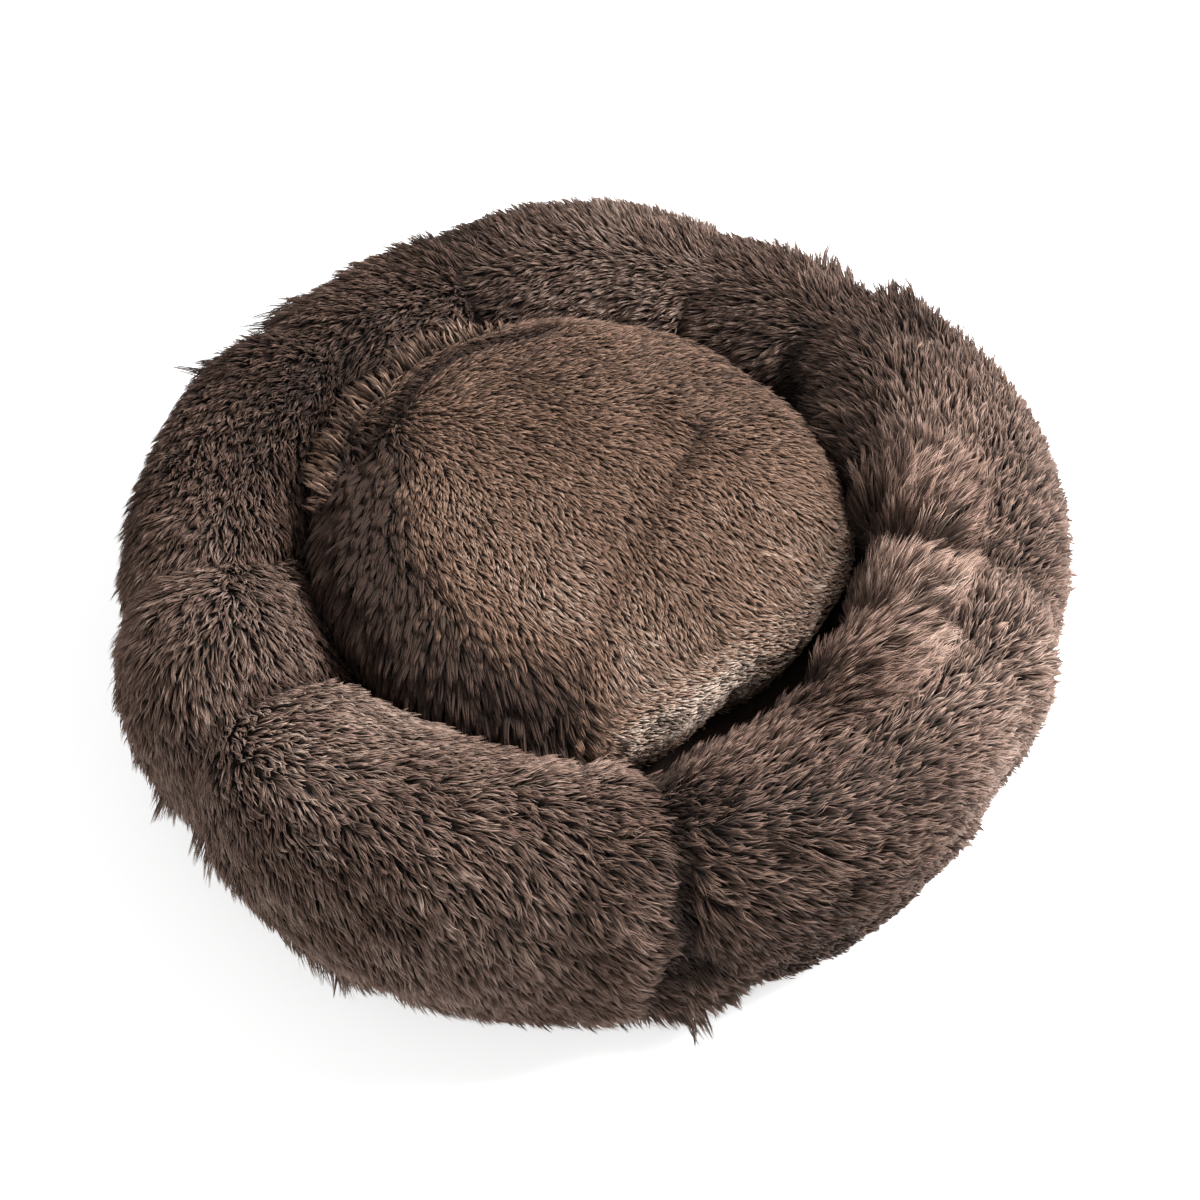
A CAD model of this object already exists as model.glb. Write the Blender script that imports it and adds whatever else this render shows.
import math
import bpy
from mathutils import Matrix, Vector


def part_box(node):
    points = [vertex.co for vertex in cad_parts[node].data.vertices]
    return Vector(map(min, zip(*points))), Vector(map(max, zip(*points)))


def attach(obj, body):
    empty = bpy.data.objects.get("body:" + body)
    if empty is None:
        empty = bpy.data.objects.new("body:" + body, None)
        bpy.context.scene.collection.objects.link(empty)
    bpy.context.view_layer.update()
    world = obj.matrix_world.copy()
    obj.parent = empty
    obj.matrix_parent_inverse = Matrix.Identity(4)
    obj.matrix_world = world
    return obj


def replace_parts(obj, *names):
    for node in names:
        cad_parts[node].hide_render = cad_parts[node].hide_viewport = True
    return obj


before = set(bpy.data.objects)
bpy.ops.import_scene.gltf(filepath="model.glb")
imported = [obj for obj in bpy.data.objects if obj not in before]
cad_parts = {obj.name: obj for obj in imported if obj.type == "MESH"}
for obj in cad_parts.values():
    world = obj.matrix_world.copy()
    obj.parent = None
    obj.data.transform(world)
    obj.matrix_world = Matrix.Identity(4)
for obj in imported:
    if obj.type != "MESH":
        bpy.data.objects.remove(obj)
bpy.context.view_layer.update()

# A round pet bed in long brown pile with a loose cushion in its well.
# Metres, +Z up, the front of the bed towards -Y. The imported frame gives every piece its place.
# Azimuths count from +X towards +Y round the bed's axis. Named places give them in degrees, and
# arrays hold them in radians.
from types import SimpleNamespace as Values

import bmesh
import bpy
import numpy as np
from mathutils import Vector
from mathutils.kdtree import KDTree

scene = bpy.context.scene
TAU = 2 * math.pi

# Camera, fitted to the outline of the bed in the photograph
PHOTO_SIZE = 1200
CAMERA_ELEVATION = math.radians(50.1)
CAMERA_DISTANCE = 1.0
FOCAL_PIXELS = 1565
SENSOR_WIDTH = 36
RING_CENTRE_HEIGHT = 0.098
RING_CENTRE_PIXEL = (598.7, 545.8)

# The ring's tube, as the frame has it
TUBE_RADIUS = 0.2325
TUBE_HEIGHT = 0.0807
TUBE_HALF_WIDTH = 0.0575
TUBE_HALF_HEIGHT = 0.0893

# Places that the frame gives
base_low, base_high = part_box("base_panel")
AXIS = (base_low + base_high) / 2
BASE_RADIUS = (base_high.x - base_low.x) / 2
CUSHION_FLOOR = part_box("cushion_bottom_panel")[0].z

# Panels of the ring's cover, each from one cross seam to the next, by azimuth
PANELS = {
    "bolster_cover_right": (-80, 44),
    "bolster_cover_back": (44, 144),
    "bolster_cover_left": (144, 280),
}

# Skins: the cloth lies this far inside the laid pile's surface, less near the ground. Puffing moves no
# point further than puff, and none near a seam or the foot
RING = Values(inset=0.009, voxel=0.006, foot_blend=0.03, puff=0.006, seam_pin=0.006, foot_pin=0.012)
CUSHION = Values(inset=0.0048, voxel=0.005, foot_blend=0.02, puff=0.004, seam_pin=0.004, seam_inside=0.015,
                 foot_pin=0.004)
SKIN_THICKNESS = 0.0018
CLOTH_FRAMES = 20
CLOTH = dict(quality=4, mass=0.2, tension_stiffness=8, compression_stiffness=8, bending_stiffness=0.3,
             shrink_min=-0.06, use_pressure=True, uniform_pressure_force=4, vertex_group_mass="pinned")


# Arrays and meshes

def smoothstep(value, low, high):
    """0 up to low and 1 from high, with a soft step between."""
    t = np.clip((value - low) / (high - low), 0, 1)
    return t * t * (3 - 2 * t)


def unit(vectors):
    return vectors / np.maximum(np.linalg.norm(vectors, axis=-1, keepdims=True), 1e-9)


def dot(a, b):
    return np.sum(a * b, axis=-1, keepdims=True)


def rows_of(items, field):
    """A vector that each of a mesh's points or faces holds, one in each row."""
    flat = np.empty(len(items) * 3, np.float32)
    items.foreach_get(field, flat)
    return flat.reshape(-1, 3).astype(float)


def points_of(mesh):
    return rows_of(mesh.vertices, "co")


def normals_of(mesh):
    return rows_of(mesh.vertex_normals, "vector")


def face_centres(mesh):
    return rows_of(mesh.polygons, "center")


def set_points(mesh, points):
    mesh.vertices.foreach_set("co", points.astype(np.float32).ravel())
    mesh.update()


def linked(name, mesh):
    piece = bpy.data.objects.new(name, mesh)
    scene.collection.objects.link(piece)
    return piece


def apply_modifiers(piece):
    graph = bpy.context.evaluated_depsgraph_get()
    mesh = bpy.data.meshes.new_from_object(piece.evaluated_get(graph))
    piece.modifiers.clear()
    piece.data = mesh
    mesh.name = piece.name


def shade_smooth(mesh):
    mesh.polygons.foreach_set("use_smooth", np.ones(len(mesh.polygons), bool))


def object_of(name, shape):
    """A new object from a bmesh, which is used up."""
    mesh = bpy.data.meshes.new(name)
    shape.to_mesh(mesh)
    shape.free()
    return linked(name, mesh)


def joined_copy(name, nodes):
    """One new object with the faces of these CAD nodes."""
    shape = bmesh.new()
    for node in nodes:
        shape.from_mesh(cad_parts[node].data)
    bmesh.ops.remove_doubles(shape, verts=shape.verts, dist=1e-6)
    return object_of(name, shape)


def finished(piece, body, material):
    """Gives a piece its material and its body."""
    piece.data.materials.clear()
    piece.data.materials.append(material)
    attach(piece, body)
    return piece


WAVE_PEAK = 1.6


def waves(points, size, seed, count=7):
    """Smooth noise from -1 to 1 whose bumps are about size across."""
    random = np.random.default_rng(seed)
    total = np.zeros(len(points))
    for _ in range(count):
        direction = unit(random.normal(size=3))
        stretch = random.uniform(0.7, 1.4)
        total += np.sin(points @ direction * (math.pi / size * stretch) + random.uniform(0, TAU))
    return np.clip(total / math.sqrt(count), -WAVE_PEAK, WAVE_PEAK) / WAVE_PEAK


# Places round the bed and in the ring's section

def round_axis(points):
    """Azimuth in radians and reach from the bed's axis."""
    x, y = points[:, 0] - AXIS.x, points[:, 1] - AXIS.y
    return np.arctan2(y, x), np.hypot(x, y)


def away_from_axis(azimuth, rise=0.0):
    """Directions that point away from the bed's axis, with this rise."""
    return np.stack([np.cos(azimuth), np.sin(azimuth), np.full(len(azimuth), rise)], axis=1)


def ring_angles(points):
    """Azimuth round the bed and the angle in the tube's section, from the outside over the crest."""
    azimuth, reach = round_axis(points)
    across = (reach - TUBE_RADIUS) / TUBE_HALF_WIDTH
    rise = (points[:, 2] - TUBE_HEIGHT) / TUBE_HALF_HEIGHT
    return azimuth, np.arctan2(rise, across)


def wellward(section):
    """The angle in the section in degrees, from -90 at the foot outside to 270 inside."""
    return np.degrees(np.where(section < -math.pi / 2, section + TAU, section))


def turned_from(azimuth, degrees):
    """How far an azimuth lies from one in degrees, in radians from -pi to pi."""
    return (azimuth - math.radians(degrees) + math.pi) % TAU - math.pi


def between_edges(azimuth, middle, half_width, blend):
    """1 within half_width degrees of an azimuth, falling to 0 over blend more degrees."""
    return 1 - smoothstep(np.degrees(np.abs(turned_from(azimuth, middle))), half_width, half_width + blend)


def total_of(stretches, azimuth):
    """What some stretches add up to at an azimuth: middle, half width, blend and amount of each."""
    return sum(amount * between_edges(azimuth, *side) for *side, amount in stretches)


def in_panel(azimuth, panel):
    start, end = PANELS[panel]
    return (azimuth - math.radians(start)) % TAU < math.radians(end - start)


# Places on the cushion

RIM_BINS = 40


def widest_line(node):
    """Azimuth, reach and height of the points of a node that lie furthest out."""
    points = points_of(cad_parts[node].data)
    azimuth, reach = round_axis(points)
    bins = np.floor((azimuth + math.pi) / TAU * RIM_BINS).astype(int) % RIM_BINS
    furthest = [max(np.flatnonzero(bins == k), key=lambda i: reach[i]) for k in np.unique(bins)]
    furthest.sort(key=lambda i: azimuth[i])
    return azimuth[furthest], reach[furthest], points[furthest, 2]


RIM_LINE = widest_line("cushion_top_panel")


def above_rim(points):
    """Height over the cushion's edge seam."""
    azimuth, _ = round_axis(points)
    return points[:, 2] - np.interp(azimuth, RIM_LINE[0], RIM_LINE[2], period=TAU)


def from_rim(points):
    """How far outside the cushion's edge seam, less than zero inside it."""
    azimuth, reach = round_axis(points)
    return reach - np.interp(azimuth, RIM_LINE[0], RIM_LINE[1], period=TAU)


# A groove inside the cushion's fringe and a soft fold across its top. A side is a stretch by azimuth:
# its middle, its half width and its blend at each end
GROOVE = Values(side=(138, 26, 18), inside=0.025, half_width=0.013, depth=0.010, shorter=0.004, darker=1.0)
FOLD = Values(start=(0.066, 0.056), end=(-0.022, -0.150), half_width=0.013, depth=0.0045, darker=0.2)


def cushion_hollows(points):
    """Share of the groove and of the fold at each point of the cushion's top."""
    azimuth, _ = round_axis(points)
    off_groove = np.abs(from_rim(points) + GROOVE.inside) / GROOVE.half_width
    groove = (1 - smoothstep(off_groove, 0, 1)) * between_edges(azimuth, *GROOVE.side)
    start, end = np.array(FOLD.start), np.array(FOLD.end)
    place = points[:, :2] - np.array(AXIS[:2]) - start
    along = place @ (end - start) / np.sum((end - start) ** 2)
    aside = np.linalg.norm(place - np.clip(along, 0, 1)[:, None] * (end - start), axis=1)
    fold = 1 - smoothstep(aside / FOLD.half_width, 0, 1)
    on_top = above_rim(points) > 0
    return groove * on_top, fold * on_top


# Padded skins

def remesh(piece, voxel):
    """Makes a piece one closed surface of even faces, smoothed a little."""
    modifier = piece.modifiers.new("remesh", "REMESH")
    modifier.mode = "VOXEL"
    modifier.voxel_size = voxel
    smooth = piece.modifiers.new("smooth", "SMOOTH")
    smooth.factor = 0.5
    smooth.iterations = 4
    apply_modifiers(piece)


def set_in(piece, inset, foot_blend):
    """Moves the surface inwards, level where it rests on the base. The inset can differ by point."""
    points = points_of(piece.data)
    normals = normals_of(piece.data)
    low = points[:, 2].min()
    normals[:, 2] *= smoothstep(points[:, 2], low, low + foot_blend)
    set_points(piece.data, points - normals * np.reshape(inset, (-1, 1)))


def puff(piece, pinned, most):
    """Blows the skin up as cloth between its pinned points, each point moving no further than most."""
    before = points_of(piece.data)
    group = piece.vertex_groups.new(name="pinned")
    group.add(np.flatnonzero(pinned).tolist(), 1.0, "REPLACE")
    modifier = piece.modifiers.new("cloth", "CLOTH")
    for name, value in CLOTH.items():
        setattr(modifier.settings, name, value)
    modifier.settings.effector_weights.gravity = 0
    modifier.collision_settings.use_collision = False
    for number in range(1, CLOTH_FRAMES + 1):
        scene.frame_set(number)
    apply_modifiers(piece)
    scene.frame_set(1)
    moved = points_of(piece.data) - before
    length = np.linalg.norm(moved, axis=1, keepdims=True)
    set_points(piece.data, before + moved * np.minimum(1, most / np.maximum(length, 1e-9)))
    piece.vertex_groups.clear()


def part_of(skin, name, wanted, body, material):
    """A closed cloth shell from the faces of a skin that are wanted."""
    shape = bmesh.new()
    shape.from_mesh(skin.data)
    shape.faces.ensure_lookup_table()
    spare = [face for face, keep in zip(shape.faces, wanted) if not keep]
    bmesh.ops.delete(shape, geom=spare, context="FACES")
    piece = object_of(name, shape)
    thickness = piece.modifiers.new("thickness", "SOLIDIFY")
    thickness.thickness = SKIN_THICKNESS
    thickness.offset = -1
    apply_modifiers(piece)
    shade_smooth(piece.data)
    return finished(piece, body, material)


# The brow, which leans out over the well: the angles in the section over which the cloth begins and
# ceases to lean, and over which the pile becomes longer and flatter
BROW = Values(side=(-22, 16, 26), rise=(55, 120), fall=(140, 175), reach=0.017, pile_rise=(82, 115),
              longer=0.017, flatter=34)


def brow(azimuth, section):
    """Share of the brow at each place of the ring."""
    angle = wellward(section)
    side = between_edges(azimuth, *BROW.side)
    return side * smoothstep(angle, *BROW.rise) * (1 - smoothstep(angle, *BROW.fall))


def lean_brow(skin):
    """Moves the brow level towards the bed's axis."""
    points = points_of(skin.data)
    azimuth, section = ring_angles(points)
    set_points(skin.data, points - away_from_axis(azimuth) * (BROW.reach * brow(azimuth, section))[:, None])


def ring_skin():
    """The cloth under the ring's pile, as one surface round all its solids."""
    skin = joined_copy("ring_skin", [*PANELS, "bolster_fill"])
    remesh(skin, RING.voxel)
    set_in(skin, RING.inset, RING.foot_blend)
    lean_brow(skin)
    points = points_of(skin.data)
    azimuth, _ = ring_angles(points)
    seams = [np.abs(turned_from(azimuth, start)) * TUBE_RADIUS < RING.seam_pin
             for start, _ in PANELS.values()]
    puff(skin, np.any(seams, axis=0) | (points[:, 2] < RING.foot_pin), RING.puff)
    shade_smooth(skin.data)
    return skin


def cushion_skin():
    """The cloth under the cushion's pile, as one surface round all its solids."""
    skin = joined_copy("cushion_skin", ["cushion_top_panel", "cushion_bottom_panel", "cushion_fill"])
    remesh(skin, CUSHION.voxel)
    set_in(skin, CUSHION.inset, CUSHION.foot_blend)
    groove, fold = cushion_hollows(points_of(skin.data))
    set_in(skin, GROOVE.depth * groove + FOLD.depth * fold, CUSHION.foot_blend)
    points = points_of(skin.data)
    on_foot = points[:, 2] < points[:, 2].min() + CUSHION.foot_pin
    on_seam = np.abs(above_rim(points)) < CUSHION.seam_pin
    on_seam &= from_rim(points) > -CUSHION.seam_inside
    puff(skin, on_foot | on_seam, CUSHION.puff)
    shade_smooth(skin.data)
    return skin


# Material nodes

def new_material(name):
    material = bpy.data.materials.new(name)
    material.use_nodes = True
    nodes = material.node_tree.nodes
    return material, material.node_tree, nodes["Principled BSDF"]


def set_inputs(node, values):
    for name, value in values.items():
        node.inputs[name].default_value = value


def ramp(tree, stops, factor):
    """A colour ramp over a factor. A stop holds a colour or a grey."""
    node = tree.nodes.new("ShaderNodeValToRGB")
    elements = node.color_ramp.elements
    while len(elements) < len(stops):
        elements.new(0.5)
    for element, (place, color) in zip(elements, stops):
        element.position = place
        element.color = (*color, 1) if hasattr(color, "__len__") else (color, color, color, 1)
    tree.links.new(factor, node.inputs["Fac"])
    return node.outputs["Color"]


def multiply(tree, first, second):
    node = tree.nodes.new("ShaderNodeMix")
    node.data_type = "RGBA"
    node.blend_type = "MULTIPLY"
    node.inputs["Factor"].default_value = 1
    tree.links.new(first, node.inputs["A"])
    tree.links.new(second, node.inputs["B"])
    return node.outputs["Result"]


def math_node(tree, operation, first, second):
    node = tree.nodes.new("ShaderNodeMath")
    node.operation = operation
    for socket, value in zip(node.inputs, (first, second)):
        if isinstance(value, (int, float)):
            socket.default_value = value
        else:
            tree.links.new(value, socket)
    return node.outputs["Value"]


def bump(tree, shader, height, strength, distance):
    node = tree.nodes.new("ShaderNodeBump")
    set_inputs(node, {"Strength": strength, "Distance": distance})
    tree.links.new(height, node.inputs["Height"])
    tree.links.new(node.outputs["Normal"], shader.inputs["Normal"])


def place_noise(tree, scale, detail=4.0):
    where = tree.nodes.new("ShaderNodeTexCoord")
    noise = tree.nodes.new("ShaderNodeTexNoise")
    set_inputs(noise, {"Scale": scale, "Detail": detail})
    tree.links.new(where.outputs["Object"], noise.inputs["Vector"])
    return noise.outputs["Fac"]


def threads(tree, axis, pitch):
    """A ridge for each thread across an axis of the object, as a height from 0 to 1."""
    where = tree.nodes.new("ShaderNodeTexCoord")
    parts = tree.nodes.new("ShaderNodeSeparateXYZ")
    tree.links.new(where.outputs["Object"], parts.inputs["Vector"])
    turns = math_node(tree, "MULTIPLY", parts.outputs[axis], TAU / pitch)
    return math_node(tree, "MULTIPLY_ADD", math_node(tree, "SINE", turns, 0), 0.5)


STRAND_UV = "OFBake"


def pile_material(name, tones, depth, sheen):
    """Colour runs from root to tip along a lock, and from dark to light locks."""
    material, tree, shader = new_material(name)
    uv = tree.nodes.new("ShaderNodeUVMap")
    uv.uv_map = STRAND_UV
    parts = tree.nodes.new("ShaderNodeSeparateXYZ")
    tree.links.new(uv.outputs["UV"], parts.inputs["Vector"])
    tone = ramp(tree, tones, parts.outputs["X"])
    shade = ramp(tree, depth, parts.outputs["Y"])
    tree.links.new(multiply(tree, tone, shade), shader.inputs["Base Color"])
    rough = ramp(tree, [(0, 0.95), (0.5, 0.75), (1, 0.6)], parts.outputs["Y"])
    tree.links.new(rough, shader.inputs["Roughness"])
    set_inputs(shader, {"Specular IOR Level": 0.12, "Sheen Weight": sheen, "Sheen Roughness": 0.5})
    return material


def cloth_material(name, dark, light, pitch, depth):
    """Plain woven cloth: two sets of threads, uneven in tone."""
    material, tree, shader = new_material(name)
    tone = ramp(tree, [(0.3, dark), (0.7, light)], place_noise(tree, 60))
    weave = math_node(tree, "MULTIPLY", threads(tree, "X", pitch), threads(tree, "Y", pitch))
    shade = ramp(tree, [(0, 0.72), (1, 1)], weave)
    tree.links.new(multiply(tree, tone, shade), shader.inputs["Base Color"])
    tree.links.new(ramp(tree, [(0, 0.95), (1, 0.75)], weave), shader.inputs["Roughness"])
    bump(tree, shader, weave, 0.5, depth)
    shader.inputs["Specular IOR Level"].default_value = 0.2
    return material


def grained(name, tones, roughness, noise_scale, noise_detail, bump_strength, bump_distance):
    """A material whose tone, roughness and relief follow one noise."""
    material, tree, shader = new_material(name)
    noise = place_noise(tree, noise_scale, noise_detail)
    for socket, (low, high) in (("Base Color", tones), ("Roughness", roughness)):
        tree.links.new(ramp(tree, [(0.3, low), (0.7, high)], noise), shader.inputs[socket])
    bump(tree, shader, noise, bump_strength, bump_distance)
    return material, shader


def fibre_material():
    """Matted white fibre."""
    tones = (0.7, 0.69, 0.66), (0.86, 0.85, 0.82)
    material, shader = grained("fibre", tones, (1, 0.8), 90, 8, 0.8, 0.003)
    shader.inputs["Sheen Weight"].default_value = 0.3
    return material


def rubber_material():
    """Matt dark rubber with a fine grain."""
    tones = (0.02, 0.018, 0.017), (0.035, 0.032, 0.03)
    return grained("grip_rubber", tones, (0.5, 0.7), 400, 4, 0.2, 0.0003)[0]


# Pile: each lock is a closed, tapered and curved spike with a ridge along its back

LOCK_STEPS = 3
LOCK_THICKNESS = 0.45
LOCKS_PER_PIECE = 12000
TONE_HALF_WIDTH = 0.006
UV_MARGIN = 0.02


def valleys(skin, passes):
    """How deep each point of a skin lies under the skin's smoothed shape."""
    points, normals = points_of(skin.data), normals_of(skin.data)
    smooth = skin.modifiers.new("smooth", "SMOOTH")
    smooth.factor = 0.8
    smooth.iterations = passes
    graph = bpy.context.evaluated_depsgraph_get()
    smoothed = points_of(skin.evaluated_get(graph).data)
    skin.modifiers.remove(smooth)
    return dot(smoothed - points, normals)


def scatter(mesh, weight_of, count, random, extra=None):
    """Spread places on a mesh, more where weight_of says: points, normals and the extra value there."""
    mesh.calc_loop_triangles()
    corners = np.empty(len(mesh.loop_triangles) * 3, np.int32)
    mesh.loop_triangles.foreach_get("vertices", corners)
    corners = corners.reshape(-1, 3)
    points, normals = points_of(mesh), normals_of(mesh)
    extra = np.zeros((len(points), 1)) if extra is None else extra
    a, b, c = (points[corners[:, k]] for k in range(3))
    cross = np.cross(b - a, c - a)
    weight = np.linalg.norm(cross, axis=1) * weight_of((a + b + c) / 3, unit(cross))
    steps = np.cumsum(weight)
    picks = (np.arange(count) + random.random(count)) / count * steps[-1]
    chosen = np.minimum(np.searchsorted(steps, picks), len(corners) - 1)
    u, v = random.random((2, count, 1))
    over = u + v > 1
    u, v = np.where(over, 1 - u, u), np.where(over, 1 - v, v)
    first, second, third = corners[chosen].T
    mixed = [values[first] * (1 - u - v) + values[second] * u + values[third] * v
             for values in (points, normals, extra)]
    return mixed[0], unit(mixed[1]), mixed[2][:, 0]


def lock_lines(roots, normals, lay, length, root_lift, tip_lift, droop, curl):
    """The middle lines of locks that rise from the skin, bend over and curl to one side, in degrees."""
    lay = unit(lay - normals * dot(lay, normals))
    aside = np.cross(normals, lay)
    root_lift, tip_lift, curl = np.radians(root_lift), np.radians(tip_lift), np.radians(curl)
    line = [roots]
    for step in range(LOCK_STEPS):
        along = (step + 0.5) / LOCK_STEPS
        lift = root_lift + (tip_lift - root_lift) * along
        turn = curl * (2 * along - 1)
        heading = lay * np.cos(turn)[:, None] + aside * np.sin(turn)[:, None]
        direction = heading * np.cos(lift)[:, None] + normals * np.sin(lift)[:, None]
        direction[:, 2] -= np.broadcast_to(droop, len(roots)) * along
        line.append(line[-1] + unit(direction) * (length / LOCK_STEPS)[:, None])
    return np.stack(line, axis=1)


def clumps_of(roots, every):
    """For each lock, the nearest of one lock in so many, which leads its clump."""
    leaders = np.arange(0, len(roots), every)
    tree = KDTree(len(leaders))
    for index, leader in enumerate(leaders):
        tree.insert(roots[leader], index)
    tree.balance()
    return np.array([leaders[tree.find(root)[1]] for root in roots])


def gather(lines, clumps, strength):
    """Draws the tips of the locks of a clump together."""
    along = (np.arange(LOCK_STEPS + 1) / LOCK_STEPS) ** 1.2
    pull = strength[:, None, None] * along[None, :, None]
    return lines + (lines[clumps] - lines) * pull


def lock_mesh(name, lines, normals, width, tone):
    """Builds the spikes round their middle lines, with the strand UV map."""
    count = len(lines)
    direction = unit(np.gradient(lines, axis=1))
    side = unit(np.cross(direction, normals[:, None, :]))
    back = unit(np.cross(side, direction))
    along = np.arange(LOCK_STEPS + 1) / LOCK_STEPS
    taper = (1 - along ** 1.6)[None, :, None]
    half = side * width[:, None, None] / 2 * taper
    high = back * (width * LOCK_THICKNESS)[:, None, None] * taper
    rings = np.stack([lines - half, lines + half, lines + high], axis=2)[:, :-1]
    vertices = np.concatenate([rings.reshape(count, -1, 3), lines[:, -1:]], axis=1)
    per_lock = LOCK_STEPS * 3 + 1

    faces = [[0, 1, 2]]
    for step in range(LOCK_STEPS - 1):
        near, far = step * 3, step * 3 + 3
        for corner in range(3):
            follow = (corner + 1) % 3
            faces.append([near + corner, far + corner, far + follow, near + follow])
    last = (LOCK_STEPS - 1) * 3
    faces += [[last + corner, per_lock - 1, last + (corner + 1) % 3] for corner in range(3)]
    sizes = [len(face) for face in faces]
    corners = np.concatenate(faces)

    mesh = bpy.data.meshes.new(name)
    mesh.vertices.add(count * per_lock)
    mesh.vertices.foreach_set("co", vertices.astype(np.float32).ravel())
    loops = (corners[None, :] + np.arange(count)[:, None] * per_lock).ravel().astype(np.int32)
    mesh.loops.add(len(loops))
    mesh.loops.foreach_set("vertex_index", loops)
    starts = np.concatenate([[0], np.cumsum(np.tile(sizes, count))[:-1]]).astype(np.int32)
    mesh.polygons.add(len(starts))
    mesh.polygons.foreach_set("loop_start", starts)
    shade_smooth(mesh)
    mesh.update(calc_edges=True)

    across = np.tile([-1.0, 1.0, 0.0], LOCK_STEPS + 1)[:per_lock]
    across[-1] = 0
    height = np.append(np.repeat(along[:-1], 3), 1) * (1 - 2 * UV_MARGIN) + UV_MARGIN
    u = np.clip(tone, UV_MARGIN, 1 - UV_MARGIN)[:, None] + across[None, :] * TONE_HALF_WIDTH
    v = np.broadcast_to(height, (count, per_lock))
    uv = np.stack([u[:, corners], v[:, corners]], axis=-1).reshape(-1, 2)
    layer = mesh.uv_layers.new(name=STRAND_UV)
    layer.data.foreach_set("uv", uv.astype(np.float32).ravel())
    return mesh


def lay_pile(name, body, material, lines, normals, width, tone):
    """Splits locks into pieces of a size that keeps every lock."""
    total = len(lines)
    pieces = math.ceil(total / LOCKS_PER_PIECE)
    for number in range(pieces):
        part = slice(number * total // pieces, (number + 1) * total // pieces)
        title = f"{name}_{number + 1}"
        mesh = lock_mesh(title, lines[part], normals[part], width[part], tone[part])
        finished(linked(title, mesh), body, material)


def each(random, count, spread):
    """A random number from -spread to spread for each lock."""
    return random.uniform(-spread, spread, count)


def shared(random, clumps, spread):
    """A random number from -spread to spread for each clump, the same for all its locks."""
    return random.uniform(-spread, spread, len(clumps))[clumps]


def uneven(random, clumps, spreads):
    """A random number for each lock, partly its clump's and partly its own."""
    by_clump, by_lock = spreads
    return shared(random, clumps, by_clump) + each(random, len(clumps), by_lock)


# Three coats of pile: metres and degrees, locks in a clump, and how far values stray, where a pair is
# by clump and by lock
RING_COAT = Values(
    seed=5, locks=185000, clump=3, sweep_spread=(22, 8), length=0.0150, length_spread=(0.28, 0.12),
    root_lift=64, root_spread=10, tip_lift=8, tip_spread=(16, 6), curl_spread=38, droop=0.1,
    gathered=0.74, gathered_spread=0.2, width=0.0013, width_spread=0.3, tone=0.53, tone_spread=(0.24, 0.12),
)
CUSHION_COAT = Values(
    seed=6, locks=80000, clump=3, sweep_spread=(16, 7), length=0.0098, length_spread=(0.22, 0.1),
    root_lift=54, root_spread=9, tip_lift=2, tip_spread=(12, 6), curl_spread=22, droop=0.08,
    gathered=0.7, gathered_spread=0.14, width=0.0012, width_spread=0.25, tone=0.54, tone_spread=(0.2, 0.12),
)
FRINGE_COAT = Values(
    seed=7, locks=5600, clump=18, sweep_spread=(18, 6), length=0.020, length_spread=(0.35, 0.1),
    root_lift=66, root_spread=12, tip_lift=8, tip_spread=(26, 6), curl_spread=30, droop=0.1,
    gathered=0.88, gathered_spread=0.1, width=0.0013, width_spread=0.3, tone=0.5, tone_spread=(0.34, 0.1),
)


# The ring's pile

# Sweep of the pile from outwards over the crest towards counter-clockwise, at angles in the section
SWEEP_SECTIONS = (-40, 25, 90, 125, 200)
SWEEPS = (42, 58, 74, 88, 96)
SWEEP_WAVER = 18

# Swirls of the pile outside and on the crest: azimuth, half width, blend, and degrees of turn
SWIRLS = (
    (-62, 26, 12, 14),
    (97, 14, 12, -32),
    (164, 9, 12, 26),
    (207, 7, 12, -40),
    (228, 10, 12, 36),
    (272, 8, 12, -18),
)

# Turns of the pile on the inner side, and the angles over which that side begins
INNER_TURNS = (
    (70, 30, 30, 22),
    (-27, 24, 16, -50),
)
INNER_START = (85, 120)


def ring_comb(points, extra):
    """The way the ring's pile lies, turned by some more degrees."""
    azimuth, section = ring_angles(points)
    up = np.array([0, 0, 1.0])
    outward = away_from_axis(azimuth)
    around = np.cross(up, outward)
    over = unit(outward * (TUBE_HALF_WIDTH * np.sin(section))[:, None]
                - up * (TUBE_HALF_HEIGHT * np.cos(section))[:, None])
    inner = smoothstep(wellward(section), *INNER_START)
    sweep = np.interp(wellward(section), SWEEP_SECTIONS, SWEEPS) + SWEEP_WAVER * waves(points, 0.07, seed=11)
    sweep += inner * total_of(INNER_TURNS, azimuth) + (1 - inner) * total_of(SWIRLS, azimuth)
    sweep = np.radians(sweep + extra)
    return over * np.cos(sweep)[:, None] + around * np.sin(sweep)[:, None]


# Where the ring's locks are sparse and where there are none
IN_WELL = Values(height=0.07, share=0.35)
ON_BASE = Values(height=0.012, slope=-0.75)


def ring_weight(points, normals):
    """Locks are sparse under the cushion and absent under the ring."""
    _, section = ring_angles(points)
    hidden = (np.cos(section) < 0) & (points[:, 2] < IN_WELL.height)
    under = (normals[:, 2] < ON_BASE.slope) & (points[:, 2] < ON_BASE.height)
    return np.where(under, 0, np.where(hidden, IN_WELL.share, 1.0))


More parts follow.
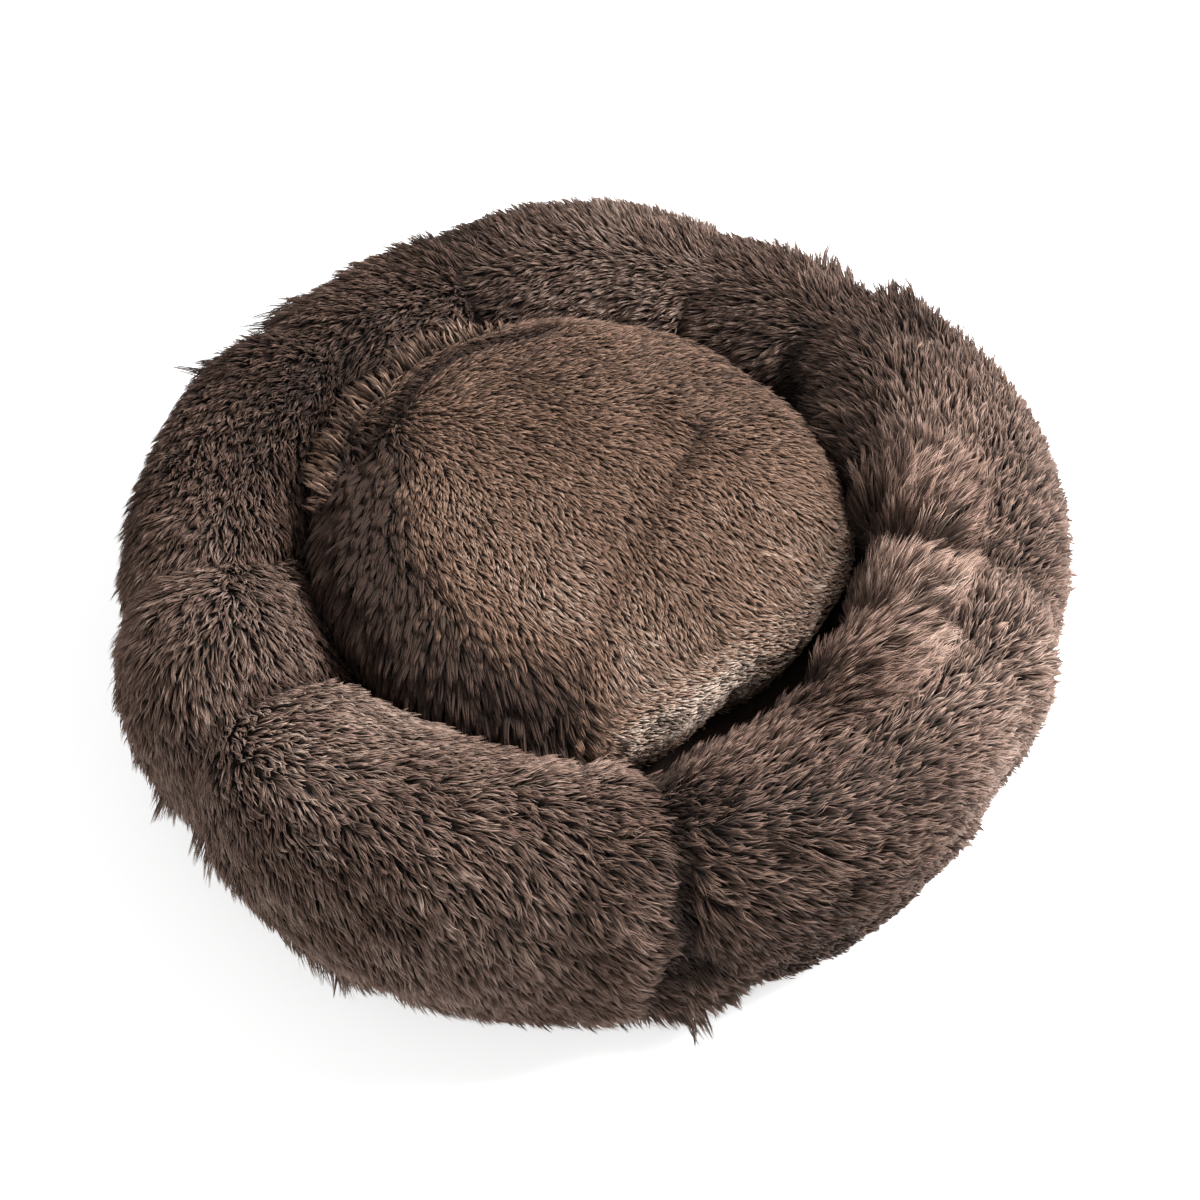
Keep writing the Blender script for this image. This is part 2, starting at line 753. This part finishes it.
# Places where the pile stands out in a tuft: azimuth, angle in the section, size, extra length
TUFTS = (
    (52, 44, 0.048, 0.017),
    (38, 50, 0.036, 0.015),
    (139, 36, 0.022, 0.022),
    (152, 30, 0.018, 0.012),
    (113, 42, 0.030, 0.010),
    (-3, -2, 0.026, 0.010),
    (-19, -8, 0.022, 0.009),
    (-80, -36, 0.024, 0.014),
    (-40, -22, 0.028, 0.010),
    (195, -22, 0.022, 0.018),
    (209, -20, 0.018, 0.012),
    (218, -24, 0.018, 0.014),
    (240, -28, 0.026, 0.014),
    (286, -34, 0.026, 0.008),
    (4, 150, 0.016, 0.012),
    (25, 150, 0.022, 0.012),
    (50, 146, 0.022, 0.013),
    (63, 150, 0.020, 0.009),
)
TUFT = Values(core=0.3, clump=9, length_spread=0.5, lift=24, lift_spread=30)

# Radius that turns an angle in the section into a length on the tube
SECTION_RADIUS = 0.075


def tufts(azimuth, section):
    """Share of a tuft at each place, and how much longer it makes the pile."""
    share, longer = np.zeros_like(azimuth), np.zeros_like(azimuth)
    for place, angle, size, length in TUFTS:
        along = turned_from(azimuth, place) * TUBE_RADIUS
        across = (section - math.radians(angle)) * SECTION_RADIUS
        near = 1 - smoothstep(np.hypot(along, across), 0, size)
        share = np.maximum(share, near)
        longer = np.maximum(longer, near * length)
    return share, longer


# Azimuths at which the pile parts beside the cushion and leaves a dark hollow
HOLLOW = Values(places=(-47, -4, 12, 39), half_width=2, blend=3, start=(136, 150), shorter=0.6, darker=0.5)


def well_hollows(azimuth, angle):
    """Share of the hollows beside the cushion."""
    near = [between_edges(azimuth, place, HOLLOW.half_width, HOLLOW.blend) for place in HOLLOW.places]
    return np.max(near, axis=0) * smoothstep(angle, *HOLLOW.start)


# Lighter and darker stretches of the ring: azimuth, half width, blend, change of tone
RING_PATCHES = (
    (142, 22, 36, -0.30),
    (88, 16, 16, 0.14),
    (-62, 14, 16, -0.26),
    (-34, 8, 10, 0.12),
    (232, 16, 16, 0.14),
    (40, 16, 14, -0.14),
    (4, 14, 12, -0.05),
)

# Creases, by how deep the skin lies under its smoothed shape
CREASE = Values(passes=60, depths=(0.0004, 0.0035), shorter=0.15, darker=0.42)

# The outer foot at the front right, where the pile is pressed, and the low crest at the front left
FOOT = Values(side=(-52, 16, 12), end=(-15, 20), shorter=0.5, flatter=8)
LOW_CREST = Values(side=(217, 22, 14), angle=80, band=(20, 50), flatter=20)

# Wisps of neighbouring clumps, which are drawn together a little
WISP = Values(locks=18, gathered=0.32, spread=0.1)

# No lock's middle line comes lower than this, and the pile darkens down the inner side
LOWEST_LOCK = 0.0012
WELL_SHADE = Values(start=(138, 168), darker=0.35)


def ring_tone(random, roots, clumps, crease, hollow):
    """Tone of each lock, from 0 for dark to 1 for light."""
    azimuth, section = ring_angles(roots)
    tone = RING_COAT.tone + 0.12 * waves(roots, 0.07, seed=23) + uneven(random, clumps, RING_COAT.tone_spread)
    tone += 0.1 * waves(roots, 0.02, seed=24) - CREASE.darker * crease - HOLLOW.darker * hollow
    tone -= WELL_SHADE.darker * smoothstep(wellward(section), *WELL_SHADE.start)
    return tone + total_of(RING_PATCHES, azimuth)


def ring_pile(skin, material):
    coat = RING_COAT
    random = np.random.default_rng(coat.seed)
    roots, normals, crease = scatter(skin.data, ring_weight, coat.locks, random, valleys(skin, CREASE.passes))
    crease = smoothstep(crease, *CREASE.depths)
    azimuth, section = ring_angles(roots)
    angle = wellward(section)
    tuft, longer = tufts(azimuth, section)
    clumps = np.where(tuft > TUFT.core, clumps_of(roots, TUFT.clump), clumps_of(roots, coat.clump))
    hollow = well_hollows(azimuth, angle)
    leaning = brow(azimuth, section) * smoothstep(angle, *BROW.pile_rise)
    pressed = between_edges(azimuth, *FOOT.side) * (1 - smoothstep(angle, *FOOT.end))
    low = between_edges(azimuth, *LOW_CREST.side)
    low *= 1 - smoothstep(np.abs(angle - LOW_CREST.angle), *LOW_CREST.band)
    wavy = waves(roots, 0.016, seed=21)
    lay = ring_comb(roots, uneven(random, clumps, coat.sweep_spread))
    length = coat.length * (1 + uneven(random, clumps, coat.length_spread) + 0.12 * wavy)
    length += longer * (1 + shared(random, clumps, TUFT.length_spread))
    length *= 1 - CREASE.shorter * crease - FOOT.shorter * pressed
    length = (length + BROW.longer * leaning) * (1 - HOLLOW.shorter * hollow)
    root_lift = coat.root_lift - BROW.flatter * leaning - LOW_CREST.flatter * low
    root_lift += each(random, coat.locks, coat.root_spread)
    tip_lift = coat.tip_lift + 10 * wavy + uneven(random, clumps, coat.tip_spread)
    tip_lift += tuft * (TUFT.lift + shared(random, clumps, TUFT.lift_spread)) - FOOT.flatter * pressed
    curl = shared(random, clumps, coat.curl_spread)
    lines = lock_lines(roots, normals, lay, length, root_lift, tip_lift, coat.droop, curl)
    lines = gather(lines, clumps, coat.gathered + each(random, coat.locks, coat.gathered_spread))
    lines = gather(lines, clumps_of(roots, WISP.locks), WISP.gathered + each(random, coat.locks, WISP.spread))
    lines[:, :, 2] = np.maximum(lines[:, :, 2], LOWEST_LOCK)
    width = coat.width * (1 + each(random, coat.locks, coat.width_spread))
    tone = ring_tone(random, roots, clumps, crease, hollow)
    for panel in PANELS:
        own = in_panel(azimuth, panel)
        lay_pile(panel.replace("cover", "pile"), "bed", material,
                 lines[own], normals[own], width[own], tone[own])


# The cushion's pile

# Stretches of the cushion's edge: start is how far outside the edge seam each begins and is whole, and
# below the same by height under the seam. One hangs long and dark, and one is pressed flat by the ring
HANGING = Values(side=(216, 39, 26), start=(-0.082, -0.018), core=0.4, clump=10, longer=0.011, wider=0.0006,
                 flatter=8, droop=0.5, gathered=0.16, fall=-0.9, pull=0.6, darker=0.95)
PRESSED = Values(side=(-40, 45, 15), start=(-0.03, -0.005), turn=60, shorter=0.0055)
SHADED = Values(side=(205, 28, 18), start=(-0.022, -0.004), darker=0.35)
PALE = Values(side=(-66, 6, 28), start=(-0.011, -0.001), below=(-0.056, -0.014), lighter=0.42)
EDGE = Values(start=(-0.045, -0.005), longer=0.001)

# Parts of the cushion, by the distance from its middle at which each begins and is whole
BACK = Values(start=(-0.02, 0.11), turn=60, darker=0.36)
LEFT = Values(start=(0.05, 0.13), turn=-28)
RIGHT = Values(start=(0.03, 0.1), lighter=0.1)
FRONT = Values(start=(0.03, 0.13), lighter=0.18)

# Locks are dense down to a depth under the edge seam, further down where the cushion stands free
FREE = Values(azimuth=235, half_width=85, depth=-0.05)
SEEN_DEPTH = -0.012
HIDDEN_SHARE = 0.3
UNDERSIDE = Values(height=0.03, share=0.12)


def cushion_weight(points, normals):
    """Locks are sparse where the cushion lies against the ring and on the floor."""
    azimuth, _ = round_axis(points)
    free = np.abs(turned_from(azimuth, FREE.azimuth)) < math.radians(FREE.half_width)
    seen = above_rim(points) > np.where(free, FREE.depth, SEEN_DEPTH)
    return np.where(seen, 1.0, np.where(points[:, 2] < UNDERSIDE.height, UNDERSIDE.share, HIDDEN_SHARE))


# The heading of the cushion's pile, in degrees from +X, and how far it wavers
CUSHION_HEADING = -52
HEADING_WAVER = 20


def cushion_comb(roots, back, pressed, hanging, extra):
    """The way the cushion's pile lies, turned by some more degrees."""
    left = smoothstep(AXIS.x - roots[:, 0], *LEFT.start) * (1 - back)
    heading = CUSHION_HEADING + BACK.turn * back + LEFT.turn * left + PRESSED.turn * pressed
    heading += HEADING_WAVER * waves(roots, 0.03, seed=31) + extra
    azimuth, _ = round_axis(roots)
    return (away_from_axis(np.radians(heading))
            + away_from_axis(azimuth, HANGING.fall) * (HANGING.pull * hanging)[:, None])


def cushion_tone(random, roots, clumps, back, hanging):
    """Tone of each lock, from 0 for dark to 1 for light."""
    azimuth, _ = round_axis(roots)
    rim_height, off_rim = above_rim(roots), from_rim(roots)
    groove, fold = cushion_hollows(roots)
    rim = np.where(rim_height > 0, smoothstep(off_rim, *PALE.start), smoothstep(rim_height, *PALE.below))
    pale = rim * between_edges(azimuth, *PALE.side) * (0.85 + 0.25 * waves(roots, 0.012, seed=35))
    shaded = smoothstep(off_rim, *SHADED.start) * between_edges(azimuth, *SHADED.side)
    front = smoothstep(AXIS.y - roots[:, 1], *FRONT.start)
    right = smoothstep(roots[:, 0] - AXIS.x, *RIGHT.start) * (1 - back)
    tone = CUSHION_COAT.tone + 0.08 * waves(roots, 0.06, seed=34)
    tone += uneven(random, clumps, CUSHION_COAT.tone_spread)
    tone += PALE.lighter * pale + FRONT.lighter * front + RIGHT.lighter * right
    tone -= HANGING.darker * hanging + BACK.darker * back + SHADED.darker * shaded
    return tone - GROOVE.darker * groove - FOLD.darker * fold


def cushion_pile(skin, material):
    coat = CUSHION_COAT
    random = np.random.default_rng(coat.seed)
    roots, normals, _ = scatter(skin.data, cushion_weight, coat.locks, random)
    azimuth, _ = round_axis(roots)
    off_rim = from_rim(roots)
    groove, _ = cushion_hollows(roots)
    edge = smoothstep(off_rim, *EDGE.start)
    hanging = smoothstep(off_rim, *HANGING.start) * between_edges(azimuth, *HANGING.side)
    pressed = smoothstep(off_rim, *PRESSED.start) * between_edges(azimuth, *PRESSED.side)
    back = smoothstep(roots[:, 1] - AXIS.y, *BACK.start)
    clumps = np.where(hanging > HANGING.core, clumps_of(roots, HANGING.clump), clumps_of(roots, coat.clump))
    lay = cushion_comb(roots, back, pressed, hanging, uneven(random, clumps, coat.sweep_spread))
    length = coat.length + HANGING.longer * hanging + EDGE.longer * edge
    length -= PRESSED.shorter * pressed + GROOVE.shorter * groove
    length *= 1 + uneven(random, clumps, coat.length_spread)
    root_lift = coat.root_lift - HANGING.flatter * hanging + each(random, coat.locks, coat.root_spread)
    tip_lift = coat.tip_lift + uneven(random, clumps, coat.tip_spread)
    curl = shared(random, clumps, coat.curl_spread)
    droop = coat.droop + HANGING.droop * hanging
    lines = lock_lines(roots, normals, lay, length, root_lift, tip_lift, droop, curl)
    gathered = coat.gathered + HANGING.gathered * hanging + each(random, coat.locks, coat.gathered_spread)
    lines = gather(lines, clumps, gathered)
    lines[:, :, 2] = np.maximum(lines[:, :, 2], CUSHION_FLOOR)
    width = (coat.width + HANGING.wider * hanging) * (1 + each(random, coat.locks, coat.width_spread))
    tone = cushion_tone(random, roots, clumps, back, hanging)
    top = above_rim(roots) > 0
    for name, own in (("cushion_top_pile", top), ("cushion_bottom_pile", ~top)):
        lay_pile(name, "cushion", material, lines[own], normals[own], width[own], tone[own])


# The fringe: longer pile in tufts along the raised part of the cushion's edge seam

FRINGE = Values(middle=148, half_width=38, end_blend=8, taper=24, shortest=0.65, below=-0.006, above=0.008,
                inside=-0.014, bundled=0.5, rise=0.15)


def in_fringe(azimuth, blend):
    """1 in the middle of the fringe, falling to 0 at its ends over blend degrees."""
    return between_edges(azimuth, FRINGE.middle, FRINGE.half_width - blend, blend)


def fringe_weight(points, normals):
    azimuth, _ = round_axis(points)
    height = above_rim(points)
    near = (height > FRINGE.below) & (height < FRINGE.above) & (from_rim(points) > FRINGE.inside)
    return np.where(near, in_fringe(azimuth, FRINGE.end_blend), 0)


def fringe(skin, material):
    coat = FRINGE_COAT
    random = np.random.default_rng(coat.seed)
    roots, normals, _ = scatter(skin.data, fringe_weight, coat.locks, random)
    clumps = clumps_of(roots, coat.clump)
    roots += (roots[clumps] - roots) * FRINGE.bundled
    azimuth, _ = round_axis(roots)
    wavy = waves(roots, 0.022, seed=61)
    azimuth += np.radians(22 * wavy + uneven(random, clumps, coat.sweep_spread))
    lay = away_from_axis(azimuth, FRINGE.rise)
    up = np.tile([0.0, 0.0, 1.0], (coat.locks, 1))
    length = coat.length * (1 + 0.3 * wavy + uneven(random, clumps, coat.length_spread))
    length *= FRINGE.shortest + (1 - FRINGE.shortest) * in_fringe(azimuth, FRINGE.taper)
    root_lift = coat.root_lift + each(random, coat.locks, coat.root_spread)
    tip_lift = coat.tip_lift + 14 * wavy + uneven(random, clumps, coat.tip_spread)
    curl = shared(random, clumps, coat.curl_spread)
    lines = lock_lines(roots, up, lay, length, root_lift, tip_lift, coat.droop, curl)
    lines = gather(lines, clumps, coat.gathered + each(random, coat.locks, coat.gathered_spread))
    width = coat.width * (1 + each(random, coat.locks, coat.width_spread))
    tone = coat.tone + 0.16 * wavy + uneven(random, clumps, coat.tone_spread)
    lay_pile("cushion_fringe", "cushion", material, lines, normals, width, tone)


# Flat layers

def bridge(shape, inner, outer):
    """Faces between two rings that have as many points."""
    for step in range(len(inner)):
        follow = (step + 1) % len(inner)
        shape.faces.new((inner[step], outer[step], outer[follow], inner[follow]))


def level(x, y):
    return 0


def ripple(height, size, seed):
    def lift_of(x, y):
        return height * float(waves(np.array([[x, y, 0.0]]), size, seed)[0])
    return lift_of


def disc(name, radius, low, high, rings, steps, top_lift=level):
    """A closed round layer, whose top can be uneven."""
    shape = bmesh.new()
    edges = []
    for height, lift_of in ((low, level), (high, top_lift)):
        loops = [[shape.verts.new((AXIS.x, AXIS.y, height + lift_of(0, 0)))]]
        for ring in range(1, rings + 1):
            reach = radius * ring / rings
            loops.append([])
            for step in range(steps):
                x, y = reach * math.cos(TAU * step / steps), reach * math.sin(TAU * step / steps)
                loops[-1].append(shape.verts.new((AXIS.x + x, AXIS.y + y, height + lift_of(x, y))))
        for step in range(steps):
            shape.faces.new((loops[0][0], loops[1][step], loops[1][(step + 1) % steps]))
        for inner, outer in zip(loops[1:], loops[2:]):
            bridge(shape, inner, outer)
        edges.append(loops[-1])
    bridge(shape, *edges)
    bmesh.ops.recalc_face_normals(shape, faces=shape.faces)
    layer = object_of(name, shape)
    shade_smooth(layer.data)
    return layer


# How far two layers lie inside and under the tops of their CAD solids, and how they ripple
WADDING = Values(inside=0.006, lower=0.0008, ripple=0.0006, ripple_size=0.03)
WELL_FLOOR = Values(inside=0.002, lower=0.0006, ripple=0.0005, ripple_size=0.04)
UNDERSIDE_HEIGHT = 0.0006


def make_wadding(material):
    low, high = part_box("base_wadding")
    wadding = disc("wadding", (high.x - low.x) / 2 - WADDING.inside, low.z, high.z - WADDING.lower,
                   rings=16, steps=72, top_lift=ripple(WADDING.ripple, WADDING.ripple_size, seed=51))
    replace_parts(finished(wadding, "bed", material), "base_wadding")


def make_well_floor(material):
    low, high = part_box("floor_panel")
    radius = (high.x - low.x) / 2 - WELL_FLOOR.inside
    well_floor = disc("well_floor", radius, low.z, high.z - WELL_FLOOR.lower, rings=24, steps=96,
                      top_lift=ripple(WELL_FLOOR.ripple, WELL_FLOOR.ripple_size, seed=52))
    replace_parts(finished(well_floor, "bed", material), "floor_panel")


def make_underside(material):
    underside = disc("underside", BASE_RADIUS, UNDERSIDE_HEIGHT, base_high.z, rings=12, steps=120)
    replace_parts(finished(underside, "bed", material), "base_panel")


# Grip dots. The dome is given as shares of the radius, each with its height over the ground
GRIP = Values(pitch=0.012, radius=0.0016, corners=8,
              dome=((1, UNDERSIDE_HEIGHT + 0.0001), (0.9, 0.0003), (0.5, 0.0)))


def make_grip_dots(material):
    """Small domes on the underside, in staggered rows, that reach down to the ground."""
    shape = bmesh.new()
    row_pitch = GRIP.pitch * math.sqrt(3) / 2
    rows = math.ceil(BASE_RADIUS / row_pitch)
    turns = [TAU * corner / GRIP.corners for corner in range(GRIP.corners)]
    for row in range(-rows, rows + 1):
        y = row * row_pitch
        shift = GRIP.pitch / 2 if row % 2 else 0
        for column in range(-rows, rows + 1):
            x = column * GRIP.pitch + shift
            if math.hypot(x, y) > BASE_RADIUS - GRIP.pitch:
                continue
            loops = [[shape.verts.new((AXIS.x + x + GRIP.radius * share * math.cos(turn),
                                       AXIS.y + y + GRIP.radius * share * math.sin(turn),
                                       height)) for turn in turns] for share, height in GRIP.dome]
            for upper, lower in zip(loops, loops[1:]):
                bridge(shape, upper, lower)
            shape.faces.new(list(reversed(loops[0])))
            shape.faces.new(loops[-1])
    bmesh.ops.recalc_face_normals(shape, faces=shape.faces)
    finished(object_of("grip_dots", shape), "bed", material)


# Fillings

STUFFING = Values(inset=0.004, voxel=0.008, lump=0.0012, lump_size=0.02)


def stuffing(name, node, body, material):
    """A lump of fibre that fills its cover, from its CAD solid."""
    piece = joined_copy(name, [node])
    remesh(piece, STUFFING.voxel)
    points, normals = points_of(piece.data), normals_of(piece.data)
    lumps = STUFFING.lump * (waves(points, STUFFING.lump_size, seed=41) - 1)
    set_points(piece.data, points + normals * (lumps - STUFFING.inset)[:, None])
    shade_smooth(piece.data)
    finished(piece, body, material)
    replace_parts(piece, node)


# The ring and the cushion

def make_ring(pile, backing, fibre):
    skin = ring_skin()
    azimuth, _ = ring_angles(face_centres(skin.data))
    for panel in PANELS:
        name = panel.replace("cover", "cloth")
        cloth = part_of(skin, name, in_panel(azimuth, panel), "bed", backing)
        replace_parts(cloth, panel)
    ring_pile(skin, pile)
    bpy.data.objects.remove(skin)
    stuffing("bolster_stuffing", "bolster_fill", "bed", fibre)


def make_cushion(pile, fringe_pile, backing, fibre):
    skin = cushion_skin()
    upper = above_rim(face_centres(skin.data)) > 0
    for name, node, wanted in (("cushion_top_cloth", "cushion_top_panel", upper),
                               ("cushion_bottom_cloth", "cushion_bottom_panel", ~upper)):
        cloth = part_of(skin, name, wanted, "cushion", backing)
        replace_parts(cloth, node)
    cushion_pile(skin, pile)
    fringe(skin, fringe_pile)
    bpy.data.objects.remove(skin)
    stuffing("cushion_stuffing", "cushion_fill", "cushion", fibre)


# Studio

def make_camera():
    data = bpy.data.cameras.new("camera")
    data.sensor_width = SENSOR_WIDTH
    data.lens = FOCAL_PIXELS / PHOTO_SIZE * SENSOR_WIDTH
    data.shift_x = (PHOTO_SIZE / 2 - RING_CENTRE_PIXEL[0]) / PHOTO_SIZE
    data.shift_y = (RING_CENTRE_PIXEL[1] - PHOTO_SIZE / 2) / PHOTO_SIZE
    camera = linked("camera", data)
    back = Vector((0, -math.cos(CAMERA_ELEVATION), math.sin(CAMERA_ELEVATION)))
    camera.location = Vector((0, 0, RING_CENTRE_HEIGHT)) + back * CAMERA_DISTANCE
    camera.rotation_mode = "QUATERNION"
    camera.rotation_quaternion = (-back).to_track_quat("-Z", "Y")
    scene.camera = camera


LIGHT_TARGET = Vector((0, 0, 0.08))


def area_light(name, place, size, power):
    data = bpy.data.lights.new(name, "AREA")
    data.size = size
    data.energy = power
    light = linked(name, data)
    light.location = place
    light.rotation_mode = "QUATERNION"
    light.rotation_quaternion = (LIGHT_TARGET - Vector(place)).to_track_quat("-Z", "Y")


def seen_directly(tree):
    """1 for rays from the camera, in mirrors and through glass, else 0."""
    path = tree.nodes.new("ShaderNodeLightPath")
    either = math_node(tree, "MAXIMUM", path.outputs["Is Camera Ray"], path.outputs["Is Glossy Ray"])
    return math_node(tree, "MAXIMUM", either, path.outputs["Is Transmission Ray"])


WORLD_STRENGTH = 0.45
FLOOR_SIZE = 12
FLOOR_GLOW = 0.6


def make_world():
    world = bpy.data.worlds.new("world")
    scene.world = world
    world.use_nodes = True
    tree = world.node_tree
    background = tree.nodes["Background"]
    background.inputs["Color"].default_value = (1, 1, 1, 1)
    spread = math_node(tree, "MULTIPLY_ADD", seen_directly(tree), 1 - WORLD_STRENGTH)
    spread.node.inputs[2].default_value = WORLD_STRENGTH
    tree.links.new(spread, background.inputs["Strength"])


def make_floor():
    shape = bmesh.new()
    bmesh.ops.create_grid(shape, x_segments=1, y_segments=1, size=FLOOR_SIZE / 2)
    floor = object_of("floor", shape)
    material, tree, shader = new_material("floor")
    tree.links.new(ramp(tree, [(0.3, 0.86), (0.7, 0.88)], place_noise(tree, 3)), shader.inputs["Base Color"])
    set_inputs(shader, {"Roughness": 0.9, "Specular IOR Level": 0, "Emission Color": (1, 1, 1, 1)})
    glow = math_node(tree, "MULTIPLY", seen_directly(tree), FLOOR_GLOW)
    tree.links.new(glow, shader.inputs["Emission Strength"])
    floor.data.materials.append(material)


scene.view_settings.view_transform = "Standard"
make_camera()
make_world()
make_floor()
area_light("key", place=(1.1, 0.3, 1.15), size=0.9, power=62)
area_light("fill", place=(-1.0, -1.5, 1.7), size=1.6, power=9)

# Materials: tones run from dark to light locks, and depth is the shade from root to tip
RING_TONES = [(0.0, (0.045, 0.026, 0.019)), (0.35, (0.163, 0.098, 0.073)), (0.65, (0.275, 0.178, 0.138)),
              (1.0, (0.47, 0.34, 0.275))]
RING_DEPTH = [(0.0, 0.08), (0.4, 0.42), (0.8, 1.0), (1.0, 1.4)]
CUSHION_TONES = [(0.0, (0.050, 0.028, 0.020)), (0.4, (0.27, 0.162, 0.112)), (0.7, (0.40, 0.255, 0.183)),
                 (1.0, (0.66, 0.52, 0.43))]
CUSHION_DEPTH = [(0.0, 0.15), (0.4, 0.5), (0.8, 1.0), (1.0, 1.25)]
FRINGE_DEPTH = [(0.0, 0.05), (0.4, 0.22), (0.75, 0.95), (1.0, 1.5)]
PILE_SHEEN = 0.05

# Cloths: the dark and the light tone of each, and the pitch and relief of its threads
CLOTHS = {
    "ring_backing": ((0.035, 0.022, 0.017), (0.055, 0.035, 0.027), 0.0012, 0.0004),
    "cushion_backing": ((0.08, 0.05, 0.036), (0.11, 0.07, 0.05), 0.0012, 0.0004),
    "floor_cloth": ((0.06, 0.04, 0.031), (0.085, 0.056, 0.044), 0.0014, 0.0004),
    "base_cloth": ((0.03, 0.026, 0.024), (0.045, 0.039, 0.036), 0.0011, 0.0004),
}
ring_fur = pile_material("ring_pile", RING_TONES, RING_DEPTH, PILE_SHEEN)
cushion_fur = pile_material("cushion_pile", CUSHION_TONES, CUSHION_DEPTH, PILE_SHEEN)
fringe_fur = pile_material("fringe_pile", CUSHION_TONES, FRINGE_DEPTH, PILE_SHEEN)
cloths = {name: cloth_material(name, *values) for name, values in CLOTHS.items()}
fibre = fibre_material()
grip_rubber = rubber_material()

# The bed and its cushion
make_ring(ring_fur, cloths["ring_backing"], fibre)
make_wadding(fibre)
make_well_floor(cloths["floor_cloth"])
make_underside(cloths["base_cloth"])
make_grip_dots(grip_rubber)
make_cushion(cushion_fur, fringe_fur, cloths["cushion_backing"], fibre)
